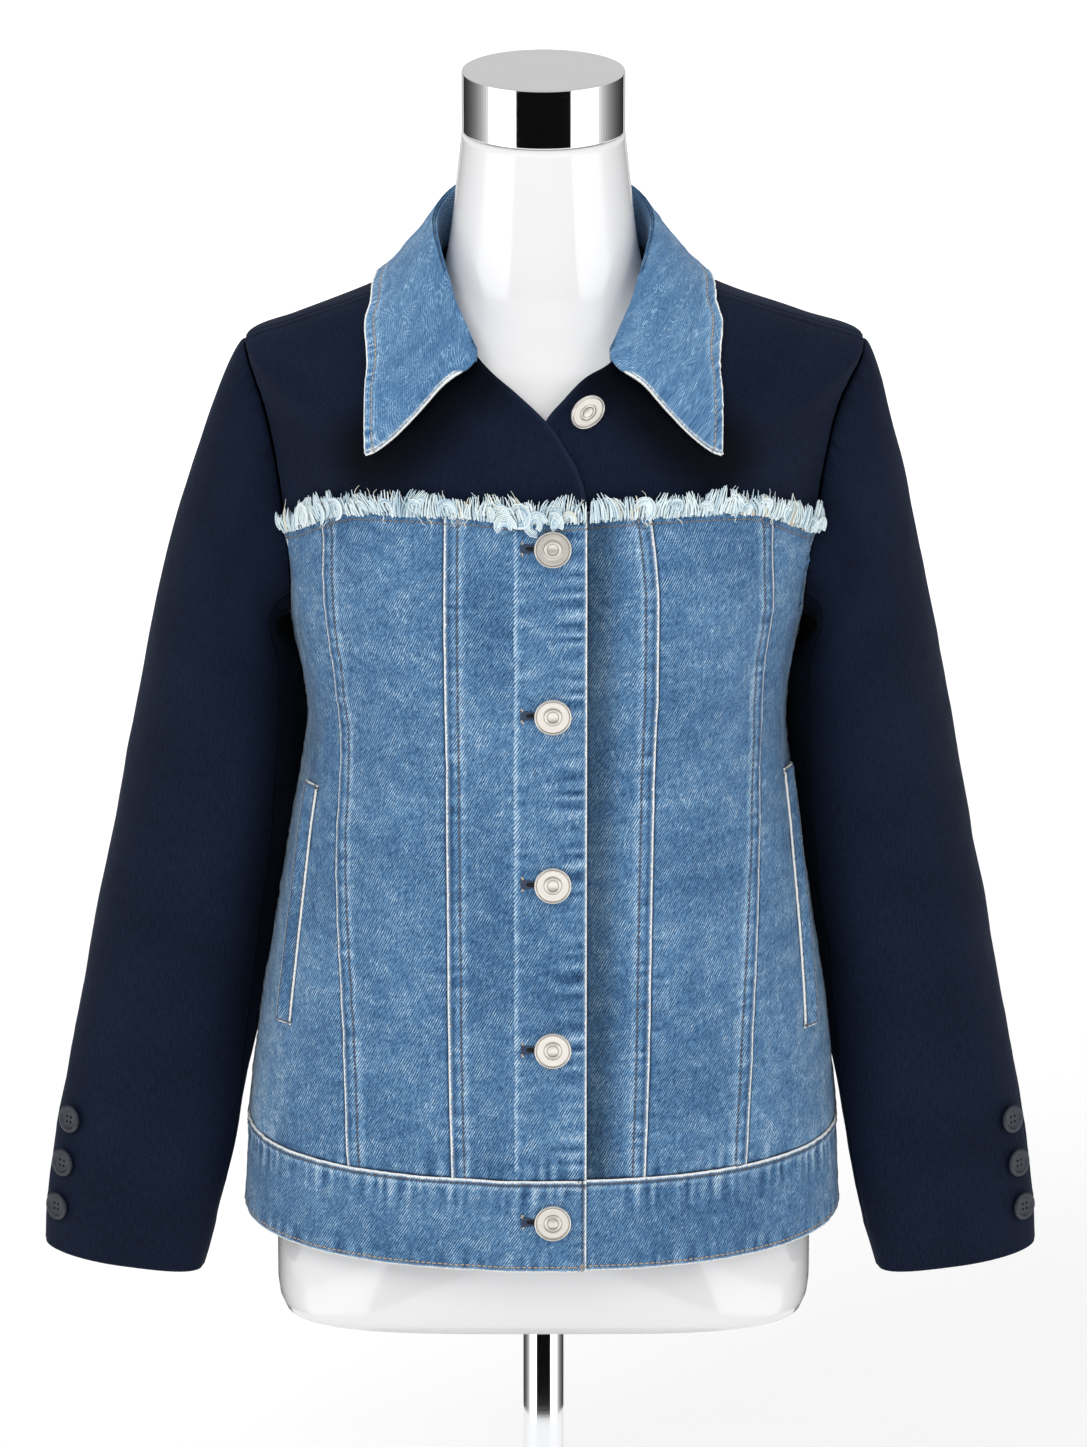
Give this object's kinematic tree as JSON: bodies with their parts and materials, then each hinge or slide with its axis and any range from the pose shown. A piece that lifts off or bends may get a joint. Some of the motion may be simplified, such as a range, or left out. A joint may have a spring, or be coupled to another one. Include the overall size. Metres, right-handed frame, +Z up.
{
  "type": "denim jacket on a limbless dress form with a pole stand",
  "caption": "Cropped denim jacket with dark suiting yoke and sleeves, frayed yoke seam and metal buttons, worn by a limbless dress form on a round stand.",
  "frame": {"origin": "middle of the underside of the round base", "axes": "+Z up, -Y out of the jacket's front, +X towards the wearer's left side"},
  "size_m": [0.6038, 0.3, 1.036],
  "materials": {
    "denim": "washed mid-blue cotton twill",
    "suiting": "smooth dark navy suiting",
    "fray": "pale frayed yarn ends",
    "nickel": "brushed nickel",
    "horn": "dark navy, half gloss",
    "form_white": "glossy white",
    "chrome": "polished"
  },
  "bodies": {
    "root": {"back_centre": "denim", "back_side_left": "denim", "back_side_right": "denim", "base": "chrome", "button_1": "nickel", "button_2": "nickel", "button_3": "nickel", "button_4": "nickel", "button_5": "nickel", "button_open": "nickel", "collar": "denim", "cuff_button_left_1": "horn", "cuff_button_left_2": "horn", "cuff_button_left_3": "horn", "cuff_button_right_1": "horn", "cuff_button_right_2": "horn", "cuff_button_right_3": "horn", "form_body": "form_white", "fray_back": "fray", "fray_left": "fray", "fray_right": "fray", "front_centre_left": "denim", "front_centre_right": "denim", "front_middle_left": "denim", "front_middle_right": "denim", "front_side_left": "denim", "front_side_right": "denim", "neck_cap": "chrome", "placket": "denim", "pole": "chrome", "pole_flange": "chrome", "sleeve_under_left": "suiting", "sleeve_under_right": "suiting", "sleeve_upper_left": "suiting", "sleeve_upper_right": "suiting", "waistband_back": "denim", "waistband_left": "denim", "waistband_right": "denim", "welt_left": "denim", "welt_right": "denim", "yoke_back": "suiting", "yoke_front_left": "suiting", "yoke_front_right": "suiting"}
  },
  "joints": []
}
